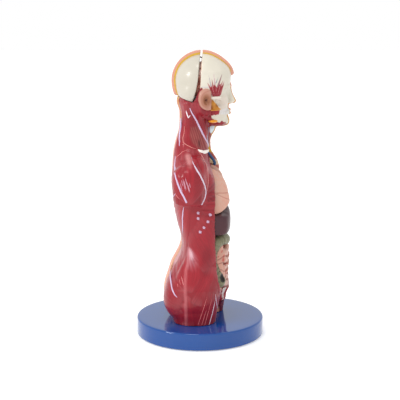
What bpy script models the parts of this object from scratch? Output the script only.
"""Dissectible torso anatomy model on a round base.

The figure faces -Y and its right side is at -X. Heights are above the table, and "forward" is the distance
towards the figure's front, so y = -forward. Numbers are millimetres until MM turns them into metres.
"""

import math

import bmesh
import bpy
from mathutils import Matrix, Vector

MM = 0.001

# Driving dimensions
BASE_RADIUS = 94.0
BASE_TOP = 26.0
BASE_WALL = 3.2
FOOT_HEIGHT = 1.5
FOOT_RADIUS = 6.0
FOOT_CIRCLE = 82.0
SCREW_PLACES = [(side * 31.0, forward) for side in (-1, 1) for forward in (12.0, -22.0)]
SCREW_RADIUS = 2.0
SCREW_HEAD_RADIUS = 4.0
SCREW_TIP = 42.0
FIGURE_BOTTOM = BASE_TOP + 0.4
NECK_SEAM = 296.0
CAVITY_FLOOR = -12.0  # forward place of the body cavity's back wall
PIN_RADIUS = 1.5
PIN_CLEARANCE = 0.4
FIT_GAP = 0.6  # between a removable part and what it sits against
LIFT_ANGLE = math.radians(17.0)  # the skull cap and the brain leave backwards and up
HEAD_CENTRE = (3.0, 376.5)  # forward, height
SKULL_RADII = (37.0, 43.5, 43.5)  # sideways, forward, up
SKULL_SPACE_RADII = (31.8, 37.5, 34.0)
BRAIN_CENTRE = (2.0, 373.0)
BRAIN_RADII = (30.4, 35.6, 26.0)
BRAIN_BOTTOM = 354.6
BRAIN_SLOPE_START = -7.0  # forward place behind which the underside climbs, clear of the cap's rim as it leaves
BRAIN_SLOPE = math.radians(19.0)

# Sections of the trunk: height, half width, front, back
TRUNK = [
    (47, 50, 22, -43),
    (56, 63, 29, -51),
    (66, 66, 33, -52.5),
    (80, 66, 35.5, -50.5),
    (95, 64, 39, -46),
    (110, 61, 38, -41),
    (126, 56.5, 35.5, -32),
    (141, 53.5, 33, -26.5),
    (156, 54, 34.5, -28),
    (171, 56.5, 36.5, -33),
    (186, 60, 37.5, -36.5),
    (201, 62.5, 37.5, -39),
    (216, 64.5, 34.5, -40),
    (231, 65.5, 32, -40),
    (244, 69, 32.5, -40),
    (254, 71, 28.5, -39.5),
    (261, 67, 24.5, -39),
    (267, 56, 20, -38.5),
    (274, 40, 15.5, -38),
    (284, 29, 13.8, -36.5),
    (NECK_SEAM - 0.3, 25.5, 13.5, -33.5),
]
THIGH = [
    (FIGURE_BOTTOM, 27, 27, -38),
    (34, 28, 28, -40),
    (42, 30, 29, -46),
    (58, 32, 30, -48),
    (72, 31, 29, -44),
]
ARM = [
    (209, 16, 3, -34),
    (220, 17.5, 5, -37),
    (233, 19.5, 7, -38),
    (244, 20.5, 7, -38),
    (252, 19, 4.5, -36.5),
    (258, 15.5, 0, -33),
    (262, 8.5, -7, -26),
]
NECK = [
    (NECK_SEAM, 25.5, 13.5, -33.5),
    (305, 24.5, 13.5, -31),
    (318, 25, 14, -30),
    (332, 28, 18, -30),
    (345, 31, 24, -30.5),
    (362, 33, 28, -33),
]
FACE = [
    (311.5, 13, 33, 8),
    (316, 18, 36.5, 0),
    (325, 23, 37, -8),
    (335, 27, 39, -12),
    (346, 30, 41, -15),
    (358, 32, 43, -15),
    (372, 34, 45, -15),
    (386, 32.5, 45.5, -15),
    (398, 26, 38, -15),
]
# The body cavity's outline from the front: half width, height
CAVITY_HALF = [
    (0, 66), (20, 68), (34, 74), (44, 82), (50, 92), (51, 105), (49, 120), (46.8, 135), (46.8, 150),
    (49.5, 165), (52.5, 180), (54.5, 195), (53.5, 210), (49.5, 225), (43.5, 236), (34.5, 246), (23, 255),
    (11, 262), (8, 270), (0, 271),
]
# Outlines of the removable organs from the front: x, height
RIGHT_LUNG = [
    (-12, 257), (-22, 251), (-33, 242), (-42, 231), (-48, 219), (-52, 206), (-52.5, 194.5), (-40, 196),
    (-26, 199.5), (-14, 205), (-12.5, 220), (-11.5, 240),
]
LEFT_LUNG = [
    (14, 257), (13.5, 246), (17.5, 234), (24.5, 220), (26.5, 208), (31, 200), (42, 196), (52.5, 194.5),
    (52, 206), (48, 219), (42, 231), (33, 242), (23, 251),
]
HEART = [
    (-9, 238), (-11, 227), (-11.3, 213), (-6, 206), (8, 202), (21, 203), (25, 209), (23, 220), (17, 232),
    (12, 240), (2, 244),
]
AIRWAY = [
    (-5, 268), (5, 268), (6.5, 258), (11.5, 246), (11.5, 200), (-9.5, 200), (-9.5, 246), (-8, 256),
]
LIVER = [
    (-51.5, 191.5), (-48.3, 167), (-45.5, 157), (-36, 155.5), (-20, 160), (-4, 166), (12, 172), (24, 180),
    (26, 187), (14, 193), (0, 197.5), (-14, 199), (-26, 196.5), (-40, 193),
]
LIVER_DEEP = [
    (-51, 191), (-48, 167), (-45, 158), (-36, 156.5), (-20, 161), (-7, 165.5), (-7, 197), (-14, 198),
    (-26, 195.5), (-40, 192),
]
STOMACH = [
    (-2.5, 154), (-3, 176), (4, 184), (20, 191), (38, 191.5), (48, 188), (50, 177), (46.5, 163), (38, 157),
    (24, 154),
]
STOMACH_FRONT = [
    (-2, 154.5), (-3, 163.5), (12, 169.5), (26, 178), (28.5, 190), (38, 191), (47.5, 187.5), (49.5, 177),
    (46, 163.5), (38, 157.5), (24, 154.5),
]
PANCREAS_SPLEEN = [
    (-4, 158), (14, 158), (30, 164), (39, 160), (45.5, 163), (49, 174), (47, 186), (40, 188), (33, 181),
    (16, 174), (-4, 172),
]
KIDNEY = [(-42, 166), (-36, 160), (-28, 162), (-24, 168), (-25.5, 174), (-24, 180), (-29, 187), (-37, 186), (-42, 178)]
INTESTINE = [
    (-45.3, 152), (-30, 152.5), (-12, 152.5), (12, 152.5), (30, 152.5), (45.3, 154), (45.3, 135), (47.5, 120),
    (49.5, 105), (48.5, 93), (42.5, 84), (33, 76), (19, 70), (0, 68.5), (-19, 70), (-33, 76), (-42.5, 84),
    (-48.5, 93), (-49.5, 105), (-47.5, 120), (-45.3, 135),
]
# The skull cap's edge from the side, as forward and height, from the top down and round under the back of the head
CAP_EDGE = [(1.2, 424), (-2.1, 394), (-4.0, 377), (-5.8, 367), (-8.2, 357.5), (-11.2, 348.8), (-32, 354.8), (-60, 357)]
HEAD_EDGE = [(3.4, 424), (2.0, 394), (0.6, 377), (-0.8, 367), (-2.2, 358), (-5.2, 347.2), (-32, 353.4), (-60, 355)]

COLOURS = {
    "muscle": (0.56, 0.07, 0.09, 0.35),
    "bone": (0.80, 0.76, 0.66, 0.35),
    "brain": (0.78, 0.47, 0.40, 0.45),
    "lung": (0.80, 0.46, 0.36, 0.40),
    "heart": (0.55, 0.12, 0.10, 0.35),
    "airway": (0.75, 0.70, 0.66, 0.40),
    "liver": (0.14, 0.06, 0.06, 0.30),
    "stomach": (0.76, 0.42, 0.36, 0.40),
    "spleen": (0.45, 0.20, 0.22, 0.40),
    "kidney": (0.45, 0.13, 0.09, 0.40),
    "intestine": (0.78, 0.45, 0.38, 0.40),
    "base": (0.04, 0.14, 0.42, 0.25),
    "steel": (0.60, 0.60, 0.60, 0.30),
    "rubber": (0.03, 0.03, 0.03, 0.80),
}


def clear_scene():
    for item in list(bpy.data.objects):
        bpy.data.objects.remove(item)


def material(name):
    """A Principled material of that name, made once."""
    found = bpy.data.materials.get(name)
    if found:
        return found
    red, green, blue, roughness = COLOURS[name]
    made = bpy.data.materials.new(name)
    made.use_nodes = True
    shader = made.node_tree.nodes["Principled BSDF"]
    shader.inputs["Base Color"].default_value = (red, green, blue, 1)
    shader.inputs["Roughness"].default_value = roughness
    shader.inputs["Metallic"].default_value = 1.0 if name == "steel" else 0.0
    return made


def place(x, forward, height):
    return Vector((x, -forward, height)) * MM


def finish_mesh(name, mesh, colour=None):
    """An object from a bmesh, with its faces pointing out."""
    bmesh.ops.recalc_face_normals(mesh, faces=mesh.faces)
    data = bpy.data.meshes.new(name)
    mesh.to_mesh(data)
    mesh.free()
    data.shade_smooth()
    data.set_sharp_from_angle(angle=math.radians(40))
    made = bpy.data.objects.new(name, data)
    bpy.context.scene.collection.objects.link(made)
    if colour:
        data.materials.append(material(colour))
    return made


def skin_rings(name, rings, colour=None):
    """Joins rings of the same number of points into one closed tube."""
    mesh = bmesh.new()
    loops = [[mesh.verts.new(point) for point in ring] for ring in rings]
    for lower, upper in zip(loops, loops[1:]):
        for i in range(len(lower)):
            j = (i + 1) % len(lower)
            mesh.faces.new((lower[i], lower[j], upper[j], upper[i]))
    mesh.faces.new(loops[0][::-1])
    mesh.faces.new(loops[-1])
    return finish_mesh(name, mesh, colour)


def section_loft(name, sections, segments, power=2.3, centre_x=0.0, colour=None):
    """A body through horizontal rounded sections (height, half width, front, back)."""
    rings = []
    for height, half_width, front, back in sections:
        middle, depth = (front + back) / 2, (front - back) / 2
        ring = []
        for i in range(segments):
            angle = 2 * math.pi * i / segments
            across, along = math.cos(angle), math.sin(angle)
            x = centre_x + half_width * math.copysign(abs(across) ** (2 / power), across)
            forward = middle + depth * math.copysign(abs(along) ** (2 / power), along)
            ring.append(place(x, forward, height))
        rings.append(ring)
    return skin_rings(name, rings, colour)


def outline_body(name, outline, steps, colour=None):
    """A body whose outline faces forward: each step is (forward, share of the outline about its middle)."""
    middle_x = sum(x for x, _ in outline) / len(outline)
    middle_z = sum(z for _, z in outline) / len(outline)
    rings = []
    for forward, share in steps:
        rings.append(
            [
                place(middle_x + share * (x - middle_x), forward, middle_z + share * (z - middle_z))
                for x, z in outline
            ]
        )
    return skin_rings(name, rings, colour)


def side_prism(name, outline, half_width):
    """A prism across the figure, from an outline of forward and height."""
    rings = [[place(x, forward, height) for forward, height in outline] for x in (-half_width, half_width)]
    return skin_rings(name, rings)


def ellipsoid(name, centre, radii, segments, rings, colour=None):
    """centre is x, forward, height; radii are sideways, forward, up."""
    mesh = bmesh.new()
    shape = Matrix.Diagonal((radii[0] * MM, radii[1] * MM, radii[2] * MM, 1))
    bmesh.ops.create_uvsphere(
        mesh, u_segments=segments, v_segments=rings, radius=1, matrix=Matrix.Translation(place(*centre)) @ shape
    )
    return finish_mesh(name, mesh, colour)


def rod(name, start, end, radius, segments=12, colour=None, end_radius=None):
    """A round rod between two points given as x, forward, height."""
    a, b = place(*start), place(*end)
    turn = (b - a).to_track_quat("Z", "Y").to_matrix().to_4x4()
    mesh = bmesh.new()
    bmesh.ops.create_cone(
        mesh,
        cap_ends=True,
        segments=segments,
        radius1=radius * MM,
        radius2=(end_radius or radius) * MM,
        depth=(b - a).length,
        matrix=Matrix.Translation((a + b) / 2) @ turn,
    )
    return finish_mesh(name, mesh, colour)


def turned(name, profile, segments, colour=None):
    """A turned body about the upright axis, from its closed profile of radius and height."""
    mesh = bmesh.new()
    line = [mesh.verts.new(Vector((radius, 0, height)) * MM) for radius, height in profile]
    edges = [mesh.edges.new(pair) for pair in zip(line, line[1:])]
    bmesh.ops.spin(
        mesh, geom=line + edges, cent=(0, 0, 0), axis=(0, 0, 1), angle=2 * math.pi, steps=segments, use_duplicate=False
    )
    bmesh.ops.remove_doubles(mesh, verts=mesh.verts, dist=1e-6)
    return finish_mesh(name, mesh, colour)


def combine(target, tool, operation):
    """Joins a helper to the target or cuts it away, and leaves the helper out of the model."""
    modifier = target.modifiers.new(tool.name, "BOOLEAN")
    modifier.operation = operation
    modifier.solver = "EXACT"
    modifier.object = tool
    tool.hide_render = True
    tool.display_type = "WIRE"


def join(target, *tools):
    for tool in tools:
        combine(target, tool, "UNION")


def cut(target, *tools):
    for tool in tools:
        combine(target, tool, "DIFFERENCE")


def pin(name, x, height, back, front, holders, radius=PIN_RADIUS, rise=0.0):
    """A steel dowel from back to front, in a clearance hole in each part that it enters. It climbs by rise."""
    start, end = (x, back, height + rise), (x, front, height)
    rod(name, start, end, radius, colour="steel")
    direction = (Vector(end) - Vector(start)).normalized()
    hole_start, hole_end = Vector(start) - direction, Vector(end) + direction
    for holder in holders:
        hole = rod(f"{name}_hole_{holder.name}", hole_start, hole_end, radius + PIN_CLEARANCE, segments=12)
        cut(holder, hole)


def build_base():
    """Hollow moulded base with bosses for the screws and the feet."""
    inner = BASE_RADIUS - BASE_WALL
    ceiling = BASE_TOP - 4.0
    plate = turned(
        "base_plate",
        [
            (0, BASE_TOP), (BASE_RADIUS - 2.2, BASE_TOP), (BASE_RADIUS - 0.7, BASE_TOP - 0.7),
            (BASE_RADIUS, BASE_TOP - 2.2), (BASE_RADIUS, FOOT_HEIGHT + 0.3), (BASE_RADIUS - 0.5, FOOT_HEIGHT),
            (inner, FOOT_HEIGHT), (inner - 0.6, ceiling), (0, ceiling),
        ],
        64,
        "base",
    )
    for i, (x, forward) in enumerate(SCREW_PLACES, 1):
        boss = rod(f"boss_{i}", (x, forward, 5.0), (x, forward, BASE_TOP - 2), 7.0, 16)
        join(plate, boss)
        shank = rod(f"shank_hole_{i}", (x, forward, -5), (x, forward, 60), SCREW_RADIUS + 0.3, 12)
        head = rod(f"head_hole_{i}", (x, forward, -5), (x, forward, 12.0), SCREW_HEAD_RADIUS + 0.8, 16)
        cut(plate, shank, head)
        screw = rod(f"base_screw_{i}", (x, forward, 11.0), (x, forward, SCREW_TIP), SCREW_RADIUS, 12, "steel")
        screw_head = rod(
            f"screw_head_{i}", (x, forward, 8.6), (x, forward, 11.7), SCREW_HEAD_RADIUS - 0.9, 12, None, SCREW_HEAD_RADIUS
        )
        join(screw, screw_head)
    for i in range(4):
        angle = math.radians(45 + 90 * i)
        x, forward = FOOT_CIRCLE * math.cos(angle), FOOT_CIRCLE * math.sin(angle)
        boss = rod(f"foot_boss_{i + 1}", (x, forward, FOOT_HEIGHT + 0.3), (x, forward, BASE_TOP - 2), 8.0, 16)
        join(plate, boss)
        rod(f"rubber_foot_{i + 1}", (x, forward, 0), (x, forward, FOOT_HEIGHT), FOOT_RADIUS, 16, "rubber")


def build_torso():
    """Trunk, thigh stumps and arm stumps as one moulding, open in front."""
    torso = section_loft("torso_shell", TRUNK, 40, colour="muscle")
    for side, word in ((-1, "right"), (1, "left")):
        thigh = section_loft(f"thigh_{word}", THIGH, 20, power=2.2, centre_x=side * 30.5)
        arm = section_loft(f"arm_{word}", ARM, 20, power=2.1, centre_x=side * 66.0)
        join(torso, thigh, arm)
    outline = CAVITY_HALF + [(-x, z) for x, z in CAVITY_HALF[-2:0:-1]]
    cavity = outline_body("cavity", outline, [(CAVITY_FLOOR, 1.0), (70, 1.0)])
    cut(torso, cavity)
    for i, (x, forward) in enumerate(SCREW_PLACES, 1):
        cut(torso, rod(f"thread_hole_{i}", (x, forward, 0), (x, forward, SCREW_TIP + 1), SCREW_RADIUS + 0.3, 12))
    return torso


def build_head():
    """The front of the head with the neck, open behind, and the removable skull cap."""
    forward, height = HEAD_CENTRE
    inner = ellipsoid("brain_space", (0, forward, height), SKULL_SPACE_RADII, 28, 18)
    floor_height = BRAIN_BOTTOM - 1.0
    floor = side_prism("brain_floor", [(-70, 300), (70, 300), (70, floor_height), (-70, floor_height)], 60)
    cut(inner, floor)
    head = section_loft("head_shell", NECK, 32, power=2.2, colour="bone")
    face = section_loft("face_block", FACE, 28, power=2.2)
    skull = ellipsoid("skull_front", (0, forward, height), SKULL_RADII, 32, 20)
    nose = rod("nose", (0, 41.5, 340.5), (0, 43.5, 366), 8.5, 12, None, 3.0)
    join(head, face, skull, nose)
    for side, word in ((-1, "right"), (1, "left")):
        join(head, ellipsoid(f"ear_{word}", (side * 35.0, 7, 353), (6, 8.5, 14.5), 12, 8))
    behind = side_prism("behind_head", HEAD_EDGE + [(-60, 424)], 60)
    cut(head, behind, inner)

    cap = ellipsoid("skull_cap", (0, forward, height), SKULL_RADII, 32, 20, "bone")
    cap_side = side_prism("cap_side", CAP_EDGE + [(-60, 424)], 60)
    combine(cap, cap_side, "INTERSECT")
    cut(cap, inner)
    return head, cap


def build_brain():
    """Two hemispheres, lower than the space in the skull, so that they can climb out of it."""
    halves = {}
    for side, word in ((-1, "right"), (1, "left")):
        half = ellipsoid(f"brain_{word}", (0, *BRAIN_CENTRE), BRAIN_RADII, 24, 16, "brain")
        back_height = BRAIN_BOTTOM + (BRAIN_SLOPE_START + 70) * math.tan(BRAIN_SLOPE)
        below = [(-70, 300), (70, 300), (70, BRAIN_BOTTOM), (BRAIN_SLOPE_START, BRAIN_BOTTOM), (-70, back_height)]
        cut(half, side_prism(f"brain_bottom_{word}", below, 60))
        other = side_prism(f"other_side_{word}", [(-70, 300), (70, 300), (70, 440), (-70, 440)], 30)
        other.location.x = -side * (30 - 0.3) * MM
        cut(half, other)
        halves[word] = half
    return halves["right"], halves["left"]


def dome(back, front, crown=0.32):
    """Steps of a body that is flat behind, full in the middle and domed in front."""
    depth = front - back
    return [
        (back, 0.93),
        (back + 0.12 * depth, 1.0),
        (back + 0.62 * depth, 0.99),
        (back + 0.86 * depth, 0.84),
        (back + 0.96 * depth, 0.62),
        (front, crown),
    ]


def slab(back, front):
    """Steps of a body with two flat faces, for a part that meets another."""
    return [(back, 0.97), (back + 1.0, 1.0), (front - 0.6, 1.0), (front, 0.98)]


def build_organs():
    """The removable organs. Each keeps inside its own outline, so that it can leave straight forward."""
    behind = CAVITY_FLOOR + FIT_GAP
    parts = {}
    for word, outline in (("right", RIGHT_LUNG), ("left", LEFT_LUNG)):
        parts[f"{word}_lung_back"] = outline_body(f"{word}_lung_back", outline, slab(behind, 15), "lung")
        parts[f"{word}_lung_front"] = outline_body(f"{word}_lung_front", outline, dome(15 + FIT_GAP, 42), "lung")
    parts["airway"] = outline_body("airway", AIRWAY, slab(behind, 8), "airway")
    parts["heart_back"] = outline_body("heart_back", HEART, slab(8 + FIT_GAP, 22), "heart")
    parts["heart_front"] = outline_body("heart_front", HEART, dome(22 + FIT_GAP, 40), "heart")

    parts["kidney_front"] = outline_body("kidney_front", KIDNEY, dome(behind, -2.4, 0.5), "kidney")
    parts["pancreas_spleen"] = outline_body("pancreas_spleen", PANCREAS_SPLEEN, slab(behind, 1), "spleen")
    stomach = outline_body("stomach", STOMACH, slab(1 + FIT_GAP, 19.6), "stomach")
    join(stomach, outline_body("stomach_front", STOMACH_FRONT, dome(14, 37)))
    parts["stomach"] = stomach
    liver = outline_body("liver", LIVER, dome(20.2, 44.5, 0.4), "liver")
    join(liver, outline_body("liver_deep", LIVER_DEEP, slab(-1.4, 32)))
    parts["liver"] = liver
    parts["intestine"] = outline_body("intestine", INTESTINE, dome(behind, 43.5, 0.45), "intestine")
    return parts


def build_pins(torso, head, cap, parts):
    """Steel dowels that hold the removable parts, each fixed in what is behind its part."""
    floor = CAVITY_FLOOR
    for word, side in (("right", -1), ("left", 1)):
        back, front = parts[f"{word}_lung_back"], parts[f"{word}_lung_front"]
        pin(f"{word}_lung_pin", side * 34, 222, floor - 8, floor + 8, [torso, back])
        pin(f"{word}_lung_front_pin", side * 34, 214, 8, 22, [back, front])
        pin(f"intestine_pin_{word}", side * 24, 116, floor - 7, floor + 10, [torso, parts["intestine"]])
        pin(f"skull_pin_{word}", side * 33.3, 374, -8, 6, [cap, head], 1.0, 14 * math.tan(LIFT_ANGLE))
    pin("skull_pin_top", 0, 412.7, -5, 7.5, [cap, head], 1.0, 12.5 * math.tan(LIFT_ANGLE))
    pin("airway_pin", 1, 232, floor - 8, floor + 8, [torso, parts["airway"]])
    pin("heart_pin", 2, 224, 1, 15, [parts["airway"], parts["heart_back"]])
    pin("heart_front_pin", 8, 220, 16, 30, [parts["heart_back"], parts["heart_front"]])
    pin("kidney_pin", -33, 173, floor - 8, floor + 5, [torso, parts["kidney_front"]])
    pin("pancreas_pin", 38, 172, floor - 8, floor + 8, [torso, parts["pancreas_spleen"]])
    pin("stomach_pin", 20, 166, -6, 8, [parts["pancreas_spleen"], parts["stomach"]])
    pin("liver_pin", -14, 180, floor - 8, floor + 22, [torso, parts["liver"]])


def main():
    clear_scene()
    build_base()
    torso = build_torso()
    head, cap = build_head()
    build_brain()
    parts = build_organs()
    build_pins(torso, head, cap, parts)


main()
